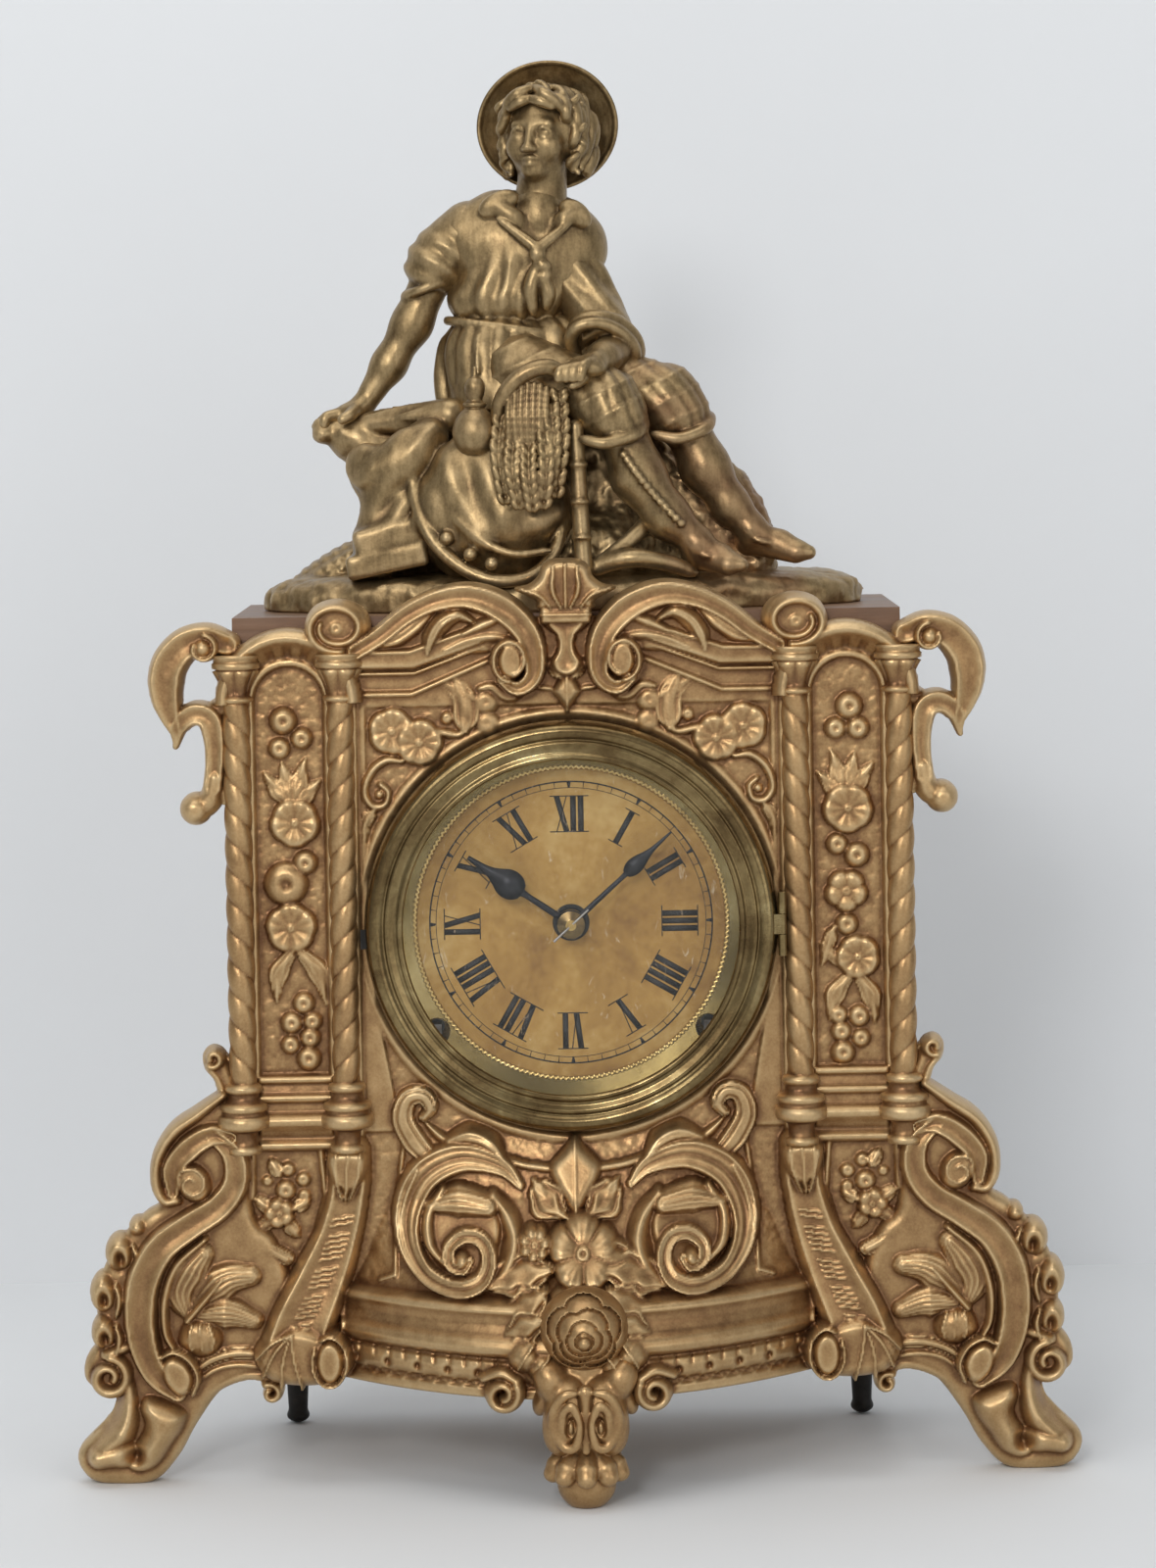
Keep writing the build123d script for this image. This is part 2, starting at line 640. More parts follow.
DOOR_HALF = ACCESS_WIDTH / 2 + DOOR_LAP
DOOR_AXIS_X = -DOOR_HALF - DOOR_KNUCKLE_R
DOOR_AXIS_Y = BACK_Y + DOOR_KNUCKLE_R + SIDE_CLEAR
DOOR_KNUCKLE = DOOR_HINGE_HEIGHT / 3


def knuckle(x, y, low_z, high_z, radius, bore):
    """Short tube of a hinge."""
    tube = Cylinder(radius, high_z - low_z) - Cylinder(bore, high_z - low_z)
    return Pos(x, y, (low_z + high_z) / 2) * tube


def back_door():
    """Sheet lid with the middle knuckle of its hinge."""
    lid = slab(access_face(DOOR_LAP), BACK_Y + DOOR_SHEET, DOOR_SHEET)
    low = ACCESS_Z - DOOR_KNUCKLE / 2 + SIDE_CLEAR
    high = ACCESS_Z + DOOR_KNUCKLE / 2 - SIDE_CLEAR
    bore = DOOR_PIN_R + RUN_CLEAR
    lug = block((DOOR_AXIS_X, DOOR_AXIS_X + 2 * DOOR_KNUCKLE_R), (BACK_Y, BACK_Y + DOOR_SHEET), (low, high))
    barrel = Pos(DOOR_AXIS_X, DOOR_AXIS_Y, ACCESS_Z) * Cylinder(bore, DOOR_HINGE_HEIGHT)
    return lid + lug + knuckle(DOOR_AXIS_X, DOOR_AXIS_Y, low, high, DOOR_KNUCKLE_R, bore) - barrel


def back_hinge():
    """Fixed leaf with its two knuckles and its pin."""
    hinge = Pos(DOOR_AXIS_X, DOOR_AXIS_Y, ACCESS_Z) * Cylinder(DOOR_PIN_R, DOOR_HINGE_HEIGHT)
    for side in (-1, 1):
        ends = sorted((ACCESS_Z + side * DOOR_KNUCKLE / 2, ACCESS_Z + side * DOOR_HINGE_HEIGHT / 2))
        leaf = block((DOOR_AXIS_X - 4 * DOOR_KNUCKLE_R, DOOR_AXIS_X), (BACK_Y, BACK_Y + DOOR_SHEET / 2), ends)
        hinge += leaf + knuckle(DOOR_AXIS_X, DOOR_AXIS_Y, *ends, DOOR_KNUCKLE_R, DOOR_PIN_R)
    return hinge


def back_door_knob():
    """Small pull on the free side of the lid."""
    face_y = BACK_Y + DOOR_SHEET
    cap_y = face_y + DOOR_KNOB_LENGTH / 2
    knob_x = DOOR_HALF - 2 * DOOR_KNOB_R
    stem = rod_y(knob_x, ACCESS_Z, DOOR_KNOB_R / 2, face_y, cap_y)
    return stem + rod_y(knob_x, ACCESS_Z, DOOR_KNOB_R, cap_y, face_y + DOOR_KNOB_LENGTH)


# Front casting

def facade_plate():
    """Flat back of the casting with its arched wings."""
    middle_z = (FACADE_BOTTOM_Z + FACADE_TOP_Z) / 2
    face = Pos(0, middle_z) * Rectangle(2 * FACADE_HALF_WIDTH, FACADE_TOP_Z - FACADE_BOTTOM_Z)
    arch_x = (INNER_COLUMN_X + OUTER_COLUMN_X) / 2
    for side in (-1, 1):
        face += Pos(side * arch_x, ARCH_Z) * Circle(ARCH_R)
    return slab(face, CASE_Y, CASTING_WALL)


def arch_hoods():
    """Raised arches over the panels between the columns."""
    upper = Pos(0, ARCH_R / 2) * Rectangle(2 * ARCH_R, ARCH_R)
    band = (Circle(ARCH_R) - Circle(ARCH_R - ARCH_BAND)) & upper
    arch_x = (INNER_COLUMN_X + OUTER_COLUMN_X) / 2
    return both_sides(slab(Pos(arch_x, ARCH_Z) * band, PANEL_Y, ARCH_DEPTH))


def column(x):
    """Column with its base rings, capital and abacus."""
    base_height = SHAFT_FOOT_Z - COLUMN_FOOT_Z
    profile = [(0, COLUMN_FOOT_Z)]
    for low, high, width in COLUMN_BASE_SHARES:
        profile.append((COLUMN_R * width, COLUMN_FOOT_Z + base_height * low))
        profile.append((COLUMN_R * width, COLUMN_FOOT_Z + base_height * high))
    profile.append((COLUMN_R, SHAFT_FOOT_Z))
    profile.append((COLUMN_R, SHAFT_TOP_Z))
    profile.append((CAPITAL_R, SHAFT_TOP_Z + CAPITAL_HEIGHT))
    profile.append((CAPITAL_R, SHAFT_TOP_Z + CAPITAL_HEIGHT + ABACUS_HEIGHT))
    profile.append((0, SHAFT_TOP_Z + CAPITAL_HEIGHT + ABACUS_HEIGHT))
    return turned(profile, x, PANEL_Y - COLUMN_STAND)


def columns():
    """The four columns, each cut off behind the panel."""
    pair = column(INNER_COLUMN_X) + column(OUTER_COLUMN_X)
    behind = block(
        (0, FOOT_REACH), (CASE_Y, CASE_Y + CAPITAL_R * 2), (0, FACADE_TOP_Z + SCROLL_TOP_Z),
    )
    return both_sides(pair - behind)


def cornice():
    """Entablature that rises towards the middle."""
    half = scaled_points(CORNICE_SHARES + CORNICE_TOP_SHARES, CORNICE_HALF, CORNICE_Z)
    return both_sides(slab(make_face(Polyline(*half, close=True)), CASE_Y, CASTING_WALL + CORNICE_DEPTH))


def pediment():
    """Pair of scrolls with a palmette between them."""
    depth = SCROLL_BACK + SCROLL_DEPTH
    back_y = PANEL_Y + SCROLL_BACK
    scroll = slab(closed_spline_face(scaled_points(SCROLL_SHARES, SCROLL_REACH, SCROLL_TOP_Z)), back_y, depth)
    for across, up, radius in SCROLL_DISC_SHARES:
        disc = Pos(SCROLL_REACH * across, SCROLL_TOP_Z * up) * Circle(SCROLL_REACH * radius)
        scroll += slab(disc, back_y, depth)
    right = scaled_points(PALMETTE_SHARES, SCROLL_REACH, SCROLL_TOP_Z)
    left = [(-x, z) for x, z in reversed(right)]
    return both_sides(scroll) + slab(make_face(Polyline(*right, *left, close=True)), back_y, depth)


def handles():
    """Scrolled handles outside the arches."""
    loop = spline_face(scaled_points(HANDLE_SHARES, HANDLE_REACH, HANDLE_TOP_Z))
    hook = spline_face(scaled_points(HOOK_SHARES, HANDLE_REACH, HANDLE_TOP_Z))
    return both_sides(slab(loop + hook, PANEL_Y + CASTING_WALL / 2, HANDLE_DEPTH))


def legs():
    """Scrolled front legs with flat soles."""
    outline = spline_face(scaled_points(LEG_SHARES, FOOT_REACH, LEG_TOP_Z))
    return both_sides(slab(outline, CASE_Y, LEG_DEPTH))


def consoles():
    """Brackets under the inner columns."""
    outline = spline_face(scaled_points(CONSOLE_SHARES, CONSOLE_REACH, CONSOLE_TOP_Z))
    return both_sides(slab(outline, CASE_Y, CONSOLE_DEPTH))


def skirt_section(z, half, swell, back_y):
    """Plan of the skirt at one height: an arc closed by its chord."""
    arc = ThreePointArc((-half, back_y, z), (0, back_y - swell, z), (half, back_y, z))
    return make_face([arc, Line((half, back_y, z), (-half, back_y, z))])


def skirt(inset):
    """Swelling skirt between the brackets, smaller all round by an inset."""
    sections = []
    for up, across, swell in SKIRT_SHARES:
        depth = max(SKIRT_SAG * swell, CASTING_WALL / 2) + CASTING_WALL
        level = SKIRT_TOP_Z * up
        if inset > 0:
            depth = max(depth - inset, inset / 4)
        sections.append(skirt_section(level, SKIRT_HALF * across - inset, depth, CASE_Y))
    return loft(sections, ruled=True)


def skirt_hollow():
    """Room inside the skirt, open to the case behind and to the ground."""
    low_z = SKIRT_TOP_Z * SKIRT_SHARES[-1][0]
    half = SKIRT_HALF - CASTING_WALL
    mouth = extrude(skirt_section(low_z, half, SKIRT_SAG - CASTING_WALL, CASE_Y), amount=-CASTING_WALL)
    return skirt(CASTING_WALL) + mouth


def centre_foot():
    """Rose, leafy neck and ball of the middle foot."""
    foot_y = FRONT_Y + CENTRE_FOOT_NECK_R
    waist_r = CENTRE_FOOT_R * CENTRE_FOOT_WAIST_SHARE
    stalk_low = (0, foot_y, CENTRE_FOOT_TOP_Z - OVERRUN)
    ball = Pos(0, foot_y, CENTRE_FOOT_R * CENTRE_FOOT_SINK_SHARE) * Sphere(CENTRE_FOOT_R)
    neck = bar((0, foot_y, CENTRE_FOOT_R), (0, foot_y, CENTRE_FOOT_TOP_Z), waist_r, CENTRE_FOOT_NECK_R)
    stalk = bar(stalk_low, (0, foot_y, ROSE_Z), CENTRE_FOOT_NECK_R, ROSE_R * ROSE_STALK_SHARE)
    below = block((-FOOT_REACH, FOOT_REACH), (FRONT_Y - ROSE_R, CASE_Y), (-2 * CENTRE_FOOT_R, 0))
    back = block(
        (-CENTRE_FOOT_NECK_R, CENTRE_FOOT_NECK_R),
        (CASE_Y - SKIRT_SAG, CASE_Y),
        (FACADE_BOTTOM_Z, ROSE_Z + ROSE_R),
    )
    return Pos(0, foot_y, ROSE_Z) * Sphere(ROSE_R) + ball + neck + stalk - below - back


def front_casting():
    """The whole cast front, bored for the dial and tapped for its screws."""
    casting = facade_plate() + skirt(0) + legs() + consoles()
    casting -= skirt_hollow()
    for piece in (arch_hoods, columns, cornice, pediment, handles, centre_foot):
        casting += piece()
    casting -= slab(Pos(0, DIAL_Z) * Circle(DIAL_HOLE_R), CASE_Y + OVERRUN, CASTING_WALL + SCROLL_DEPTH)
    for x, z in BLOCK_PLACES:
        casting -= rod_y(x, z, SCREW_R + SCREW_CLEAR, CASE_Y - SCREW_BITE - SCREW_CLEAR, CASE_Y + OVERRUN)
    for x, z in POST_PLACES:
        casting -= rod_y(x, z, STUD_R + SCREW_CLEAR, CASE_Y - SCREW_BITE - SCREW_CLEAR, CASE_Y + OVERRUN)
    return casting


# Bezel, glass and dial

BEZEL_BACK_Y = PANEL_Y - SIDE_CLEAR
GLASS_BACK_Y = PANEL_Y - GLASS_BACK
HINGE_X = BEZEL_R + HINGE_R
HINGE_Y = PANEL_Y - HINGE_STAND
HINGE_KNUCKLE = HINGE_HEIGHT / 3


def bezel_ring():
    """Spun ring with two ridges, rebated behind for the glass."""
    width = BEZEL_R - BEZEL_LIP_R
    seat_y = GLASS_BACK_Y - GLASS_THICK - SIDE_CLEAR
    rebate_y = PANEL_Y - BEZEL_HEIGHT * BEZEL_REBATE_SHARE
    front = [(BEZEL_R - width * across, PANEL_Y - BEZEL_HEIGHT * up) for across, up in BEZEL_SHARES]
    back = [
        (BEZEL_LIP_R, seat_y), (GLASS_R + SIDE_CLEAR, seat_y), (GLASS_R + SIDE_CLEAR, rebate_y),
        (BEZEL_R - BEZEL_RIM, rebate_y), (BEZEL_R - BEZEL_RIM, BEZEL_BACK_Y), (BEZEL_R, BEZEL_BACK_Y),
    ]
    return dial_turned(front + back)


def bezel_glass():
    """Round glass in the rebate."""
    front_y = GLASS_BACK_Y - GLASS_THICK
    return dial_turned(((0, GLASS_BACK_Y), (GLASS_R, GLASS_BACK_Y), (GLASS_R, front_y), (0, front_y)))


def bezel_hinge_leaf():
    """Moving leaf with the middle knuckle."""
    low = DIAL_Z - HINGE_KNUCKLE / 2 + SIDE_CLEAR
    high = DIAL_Z + HINGE_KNUCKLE / 2 - SIDE_CLEAR
    bore = HINGE_PIN_R + RUN_CLEAR
    front_y = HINGE_Y - HINGE_R
    leaf = block((BEZEL_R - BEZEL_RIM, HINGE_X), (front_y, front_y + HINGE_LEAF), (low, high))
    barrel = Pos(HINGE_X, HINGE_Y, DIAL_Z) * Cylinder(bore, HINGE_HEIGHT)
    return leaf + knuckle(HINGE_X, HINGE_Y, low, high, HINGE_R, bore) - barrel - bezel_ring()


def case_hinge_leaf():
    """Fixed leaf that stands on the casting, with the outer knuckles and the pin driven into them."""
    leaf = block(
        (HINGE_X - HINGE_LEAF / 2, HINGE_X + HINGE_LEAF / 2),
        (HINGE_Y + HINGE_R / 2, PANEL_Y),
        (DIAL_Z - HINGE_HEIGHT / 2, DIAL_Z + HINGE_HEIGHT / 2),
    )
    middle = block(
        (HINGE_X - HINGE_R, HINGE_X + HINGE_R),
        (HINGE_Y - HINGE_R, HINGE_Y + 2 * HINGE_R),
        (DIAL_Z - HINGE_KNUCKLE / 2, DIAL_Z + HINGE_KNUCKLE / 2),
    )
    hinge = leaf - middle + Pos(HINGE_X, HINGE_Y, DIAL_Z) * Cylinder(HINGE_PIN_R, HINGE_HEIGHT)
    for side in (-1, 1):
        ends = sorted((DIAL_Z + side * HINGE_KNUCKLE / 2, DIAL_Z + side * HINGE_HEIGHT / 2))
        hinge += knuckle(HINGE_X, HINGE_Y, *ends, HINGE_R, HINGE_PIN_R)
    return hinge


def bezel_catch():
    """Thumb tab on the left of the bezel."""
    tab_x = -BEZEL_R - HINGE_R
    front_y = BEZEL_BACK_Y - BEZEL_HEIGHT * BEZEL_REBATE_SHARE
    tab = block(
        (tab_x, -BEZEL_R + BEZEL_RIM),
        (front_y - CATCH_THICK, front_y),
        (DIAL_Z - CATCH_HEIGHT, DIAL_Z),
    )
    return tab - bezel_ring()


def dial_disc(radius, front_y, back_y):
    """Disc of the dial with its centre hole."""
    disc = rod_y(*CENTRE_PLACE, radius, front_y, back_y)
    return disc - rod_y(*CENTRE_PLACE, 2 * HOUR_PIPE_R, front_y, back_y)


def dial_plate():
    """Sheet behind the opening, on three feet that reach the movement."""
    back_y = CASE_Y + DIAL_SHEET
    plate = dial_disc(DIAL_SHEET_R, CASE_Y, back_y)
    for side in (-1, 1):
        plate -= rod_y(side * WINDING_X, WINDING_Z, KEYHOLE_R, CASE_Y - OVERRUN, back_y + OVERRUN)
    for angle in DIAL_FOOT_TURNS:
        x, z = reach_from(CENTRE_PLACE, DIAL_SHEET_R * DIAL_FOOT_SHARE, math.radians(angle))
        plate += rod_y(x, z, DIAL_FOOT_R, back_y, PLATE_FRONT_Y)
    return plate


def dial_paper():
    """Printed paper on the dial plate."""
    paper = dial_disc(PAPER_R, DIAL_FACE_Y, CASE_Y)
    for side in (-1, 1):
        paper -= rod_y(side * WINDING_X, WINDING_Z, KEYHOLE_R, DIAL_FACE_Y - OVERRUN, CASE_Y + OVERRUN)
    return paper


def sight_ring():
    """Bright dished ring round the paper, notched for the winding key."""
    inner = PAPER_R
    outer = DIAL_HOLE_R - SIDE_CLEAR
    front_y = CASE_Y - SIGHT_HEIGHT
    low_y = CASE_Y - 2 * SIGHT_SHEET
    slope = ((inner, low_y), (outer - SIGHT_SHEET, front_y))
    ring = dial_turned(((inner, CASE_Y), *slope, (outer, front_y), (outer, CASE_Y)))
    for side in (-1, 1):
        ring -= rod_y(side * WINDING_X, WINDING_Z, KEYHOLE_R, front_y - OVERRUN, CASE_Y + OVERRUN)
    return ring


# Hands, drawn pointing up and turned to the time shown

HAND_BASE_Y = CASE_Y - SIGHT_HEIGHT
HOUR_HAND_Y = HAND_BASE_Y
MINUTE_HAND_Y = HOUR_HAND_Y - HAND_SHEET - HAND_GAP
COLLET_Y = MINUTE_HAND_Y - HAND_SHEET
MINUTE_TURN = MINUTE_SHOWN * 360 / 60
HOUR_TURN = (HOUR_SHOWN + MINUTE_SHOWN / 60) * 360 / 12


def hand(length, eye_r, spade_r, spade_share, bore, back_y, turn):
    """Spade hand: an eye, a stem, a leaf and a point."""
    stem = Pos(0, length * spade_share / 2) * Rectangle(HAND_WIDTH, length * spade_share)
    leaf_low = length * spade_share - spade_r
    leaf = make_face(
        Polyline(
            (-spade_r, leaf_low + spade_r), (0, leaf_low), (spade_r, leaf_low + spade_r),
            (HAND_WIDTH / 2, leaf_low + 3 * spade_r), (HAND_WIDTH / 3, length),
            (-HAND_WIDTH / 3, length), (-HAND_WIDTH / 2, leaf_low + 3 * spade_r),
            close=True,
        )
    )
    face = Circle(eye_r) + stem + leaf - Circle(bore)
    body = extrude(front_plane(back_y) * face, amount=HAND_SHEET)
    return Pos(0, 0, DIAL_Z) * Rot(0, turn, 0) * body


def hour_hand():
    """Short hand on the hour pipe."""
    return hand(HOUR_LENGTH, HOUR_EYE_R, HOUR_SPADE_R, HOUR_SPADE_SHARE, HOUR_PIPE_R, HOUR_HAND_Y, HOUR_TURN)


def minute_hand():
    """Long hand on the cannon pipe."""
    sizes = (MINUTE_LENGTH, MINUTE_EYE_R, MINUTE_SPADE_R, MINUTE_SPADE_SHARE)
    return hand(*sizes, CANNON_PIPE_R, MINUTE_HAND_Y, MINUTE_TURN)


def hand_collet():
    """Domed washer in front of the minute hand."""
    front_y = COLLET_Y - COLLET_THICK
    rim_y = COLLET_Y - COLLET_THICK / 3
    return dial_turned(
        ((CANNON_PIPE_R, COLLET_Y), (COLLET_R, COLLET_Y), (COLLET_R, rim_y), (CANNON_PIPE_R, front_y)),
    )


def taper_pin():
    """Pin across the centre arbor that holds the hands on."""
    pin_y = COLLET_Y - COLLET_THICK - TAPER_PIN_R - RUN_CLEAR
    pin = Cone(TAPER_PIN_R, TAPER_PIN_R * TAPER_SHARE, TAPER_PIN_LENGTH)
    return Pos(0, pin_y, DIAL_Z) * Rot(0, MINUTE_TURN, 0) * pin


# Movement frame

def plate_face():
    """Outline of a movement plate."""
    return Pos(0, (PLATE_TOP_Z + PLATE_BOTTOM_Z) / 2) * Rectangle(PLATE_WIDTH, PLATE_TOP_Z - PLATE_BOTTOM_Z)


def plate(front_y):
    """Movement plate with its pivot holes."""
    body = slab(plate_face(), front_y + PLATE_SHEET, PLATE_SHEET)
    ends = (front_y - OVERRUN, front_y + PLATE_SHEET + OVERRUN)
    for place in TRAIN_PLACES:
        radius = WINDING_ARBOR_R if place in (TIME_MAIN_PLACE, STRIKE_MAIN_PLACE) else ARBOR_R
        body -= rod_y(*place, radius + RUN_CLEAR, *ends)
    body -= rod_y(*HAMMER_PLACE, HAMMER_ARBOR_R + RUN_CLEAR, *ends)
    for place in PILLAR_PLACES:
        body -= rod_y(*place, STUD_R + SCREW_CLEAR, *ends)
    return body


def front_plate():
    """Front plate with the post of the minute wheel."""
    body = plate(PLATE_FRONT_Y) + rod_y(*MINUTE_WHEEL_PLACE, ARBOR_R, CASE_Y + 2 * DIAL_SHEET, PLATE_FRONT_Y)
    for place in POST_PLACES:
        body -= rod_y(*place, STUD_R + SCREW_CLEAR, PLATE_FRONT_Y - OVERRUN, TRAIN_Y + OVERRUN)
    return body


def back_plate():
    """Back plate."""
    return plate(PLATE_BACK_Y)


def plate_pillars():
    """Pillars between the plates with their nuts, and the posts that carry the movement on the casting."""
    pieces = []
    for x, z in PILLAR_PLACES:
        pillar = rod_y(x, z, PILLAR_R, TRAIN_Y, PLATE_BACK_Y)
        pieces.append(pillar + rod_y(x, z, STUD_R, PLATE_FRONT_Y, MOVEMENT_BACK_Y + NUT_HEIGHT))
        nut = Pos(x, z) * (RegularPolygon(NUT_R, 6) - Circle(STUD_R))
        pieces.append(slab(nut, MOVEMENT_BACK_Y + NUT_HEIGHT, NUT_HEIGHT))
    for x, z in POST_PLACES:
        post = rod_y(x, z, PILLAR_R, CASE_Y, PLATE_FRONT_Y)
        pieces.append(post + rod_y(x, z, STUD_R, CASE_Y - SCREW_BITE, TRAIN_Y))
    return Compound(children=pieces)


# Trains

MAIN_Y = layer_y(MAIN_LAYER_SHARE, WHEEL_SHEET)
SECOND_Y = layer_y(SECOND_LAYER_SHARE, WHEEL_SHEET)
CENTRE_Y = layer_y(CENTRE_LAYER_SHARE, WHEEL_SHEET)
THIRD_Y = layer_y(THIRD_LAYER_SHARE, WHEEL_SHEET)
SPRING_Y = TRAIN_Y + PLATE_GAP * SPRING_LAYER_SHARE
SECOND_PINION_PHASE = mesh_phase(MAIN_TEETH, 0, TIME_MAIN_PLACE, SECOND_PINION_TEETH, SECOND_PLACE)
CENTRE_PINION_PHASE = mesh_phase(SECOND_TEETH, 0, SECOND_PLACE, CENTRE_PINION_TEETH, CENTRE_PLACE)
THIRD_PINION_PHASE = mesh_phase(CENTRE_TEETH, 0, CENTRE_PLACE, THIRD_PINION_TEETH, THIRD_PLACE)
ESCAPE_PINION_PHASE = mesh_phase(THIRD_TEETH, 0, THIRD_PLACE, ESCAPE_PINION_TEETH, ESCAPE_PLACE)
STRIKE_PINION_PHASE = mesh_phase(MAIN_TEETH, 0, STRIKE_MAIN_PLACE, SECOND_PINION_TEETH, STRIKE_SECOND_PLACE)
FLY_PINION_PHASE = mesh_phase(SECOND_TEETH, 0, STRIKE_SECOND_PLACE, FLY_PINION_TEETH, FLY_PLACE)


def main_wheel(place):
    """Great wheel that runs free on its winding arbor, with the click riveted to its back."""
    wheel = gear(MAIN_TEETH, MAIN_MODULE, 0, place, MAIN_Y, WHEEL_SHEET, WINDING_ARBOR_R + RUN_CLEAR)
    click_y = MAIN_Y + WHEEL_SHEET
    low_z = place[1] + RATCHET_R + SIDE_CLEAR
    click = block(
        (place[0] - CLICK_LENGTH / 2, place[0] + CLICK_LENGTH / 2),
        (click_y, click_y + RATCHET_THICK),
        (low_z, low_z + CLICK_WIDTH),
    )
    return wheel + click


def ratchet_face():
    """Saw-toothed outline of the ratchet."""
    root = RATCHET_R * RATCHET_ROOT_SHARE
    points = []
    for tooth in range(RATCHET_TEETH):
        angle = 2 * math.pi * tooth / RATCHET_TEETH
        points.append((RATCHET_R * math.cos(angle), RATCHET_R * math.sin(angle)))
        points.append((root * math.cos(angle), root * math.sin(angle)))
    return make_face(Polyline(*points, close=True))


def winding_arbor(place):
    """Winding arbor with its ratchet, from the key square to the back plate."""
    square_y = CASE_Y + 2 * DIAL_SHEET
    arbor = rod_y(*place, WINDING_ARBOR_R, PLATE_FRONT_Y, MOVEMENT_BACK_Y)
    square = Pos(*place) * Rectangle(WINDING_SQUARE, WINDING_SQUARE)
    ratchet_y = MAIN_Y + WHEEL_SHEET + SIDE_CLEAR
    arbor += slab(square, PLATE_FRONT_Y, PLATE_FRONT_Y - square_y)
    return arbor + slab(Pos(*place) * ratchet_face(), ratchet_y + RATCHET_THICK, RATCHET_THICK)


def mainspring():
    """Open coiled mainspring of the going train, with a straight tail to its pillar."""
    place = TIME_MAIN_PLACE
    eye = WINDING_ARBOR_R + SPRING_STRIP / 2 + RUN_CLEAR
    end = eye + SPRING_TURNS * SPRING_PITCH
    pillar = (PILLAR_SPREAD / 2 - place[0], PLATE_BOTTOM_Z + PILLAR_INSET - place[1])
    reach = math.hypot(*pillar) - PILLAR_R - SPRING_STRIP
    tail = math.sqrt(reach**2 - end**2)
    lean = math.atan2(pillar[1], pillar[0]) - math.atan2(tail, end)
    strip = spiral_face(eye, SPRING_PITCH, SPRING_STRIP, SPRING_TURNS)
    strip += Pos(end, tail / 2) * Rectangle(SPRING_STRIP, tail)
    return slab(Pos(*place) * Rot(0, 0, math.degrees(lean)) * strip, SPRING_Y + SPRING_WIDTH, SPRING_WIDTH)


def arbor(place, front_y=TRAIN_Y - PLATE_SHEET, back_y=MOVEMENT_BACK_Y):
    """Steel arbor between its pivots."""
    return rod_y(*place, ARBOR_R, front_y, back_y)


def wheel_on_arbor(place, wheel, pinion, wheel_y, pinion_y, pinion_phase, back_y=MOVEMENT_BACK_Y):
    """Brass wheel and its steel pinion and arbor, as two solids."""
    brass = gear(*wheel, 0, place, wheel_y, WHEEL_SHEET, ARBOR_R)
    pinion_face = Pos(*place) * gear_face(*pinion, pinion_phase)
    steel = arbor(place, back_y=back_y) + slab(pinion_face, pinion_y + PINION_FACE, PINION_FACE)
    return Compound(children=[brass, steel - brass])


def pinion_front(wheel_y):
    """Front of a pinion that a wheel drives in the middle of its length."""
    return wheel_y + WHEEL_SHEET / 2 - PINION_FACE / 2


def second_wheel():
    """Second wheel of the going train."""
    return wheel_on_arbor(
        SECOND_PLACE, (SECOND_TEETH, SECOND_MODULE), (SECOND_PINION_TEETH, MAIN_MODULE),
        SECOND_Y, pinion_front(MAIN_Y), SECOND_PINION_PHASE,
    )


def centre_wheel():
    """Centre wheel, whose long arbor carries the hands' pipe."""
    front_y = COLLET_Y - COLLET_THICK - 4 * TAPER_PIN_R
    brass = gear(CENTRE_TEETH, CENTRE_MODULE, 0, CENTRE_PLACE, CENTRE_Y, WHEEL_SHEET, ARBOR_R)
    pinion = Pos(*CENTRE_PLACE) * gear_face(CENTRE_PINION_TEETH, SECOND_MODULE, CENTRE_PINION_PHASE)
    pinion_y = pinion_front(SECOND_Y)
    steel = arbor(CENTRE_PLACE, front_y=front_y) + slab(pinion, pinion_y + PINION_FACE, PINION_FACE)
    pin_y = COLLET_Y - COLLET_THICK - TAPER_PIN_R - RUN_CLEAR
    hole = Pos(0, pin_y, DIAL_Z) * Rot(0, MINUTE_TURN, 0) * Cylinder(TAPER_PIN_R + RUN_CLEAR, 4 * ARBOR_R)
    return Compound(children=[brass, steel - brass - hole])


def third_wheel():
    """Third wheel of the going train."""
    return wheel_on_arbor(
        THIRD_PLACE, (THIRD_TEETH, THIRD_MODULE), (THIRD_PINION_TEETH, CENTRE_MODULE),
        THIRD_Y, pinion_front(CENTRE_Y), THIRD_PINION_PHASE,
    )


ESCAPE_Y = MOVEMENT_BACK_Y + 2 * WHEEL_SHEET


def escape_wheel():
    """Escape wheel behind the back plate, on its own arbor."""
    points = []
    for tooth in range(ESCAPE_TEETH):
        angle = 2 * math.pi * tooth / ESCAPE_TEETH
        lean = 2 * math.pi / ESCAPE_TEETH * ESCAPE_LEAN_SHARE
        root = ESCAPE_R - ESCAPE_TOOTH
        points.append((root * math.cos(angle - lean), root * math.sin(angle - lean)))
        points.append((ESCAPE_R * math.cos(angle), ESCAPE_R * math.sin(angle)))
        points.append((root * math.cos(angle), root * math.sin(angle)))
    face = Pos(*ESCAPE_PLACE) * (make_face(Polyline(*points, close=True)) - Circle(ARBOR_R))
    brass = slab(face, ESCAPE_Y + WHEEL_SHEET, WHEEL_SHEET)
    pinion = Pos(*ESCAPE_PLACE) * gear_face(ESCAPE_PINION_TEETH, THIRD_MODULE, ESCAPE_PINION_PHASE)
    pinion_y = pinion_front(THIRD_Y)
    steel = arbor(ESCAPE_PLACE, back_y=ESCAPE_Y + WHEEL_SHEET)
    steel += slab(pinion, pinion_y + PINION_FACE, PINION_FACE)
    return Compound(children=[brass, steel - brass])


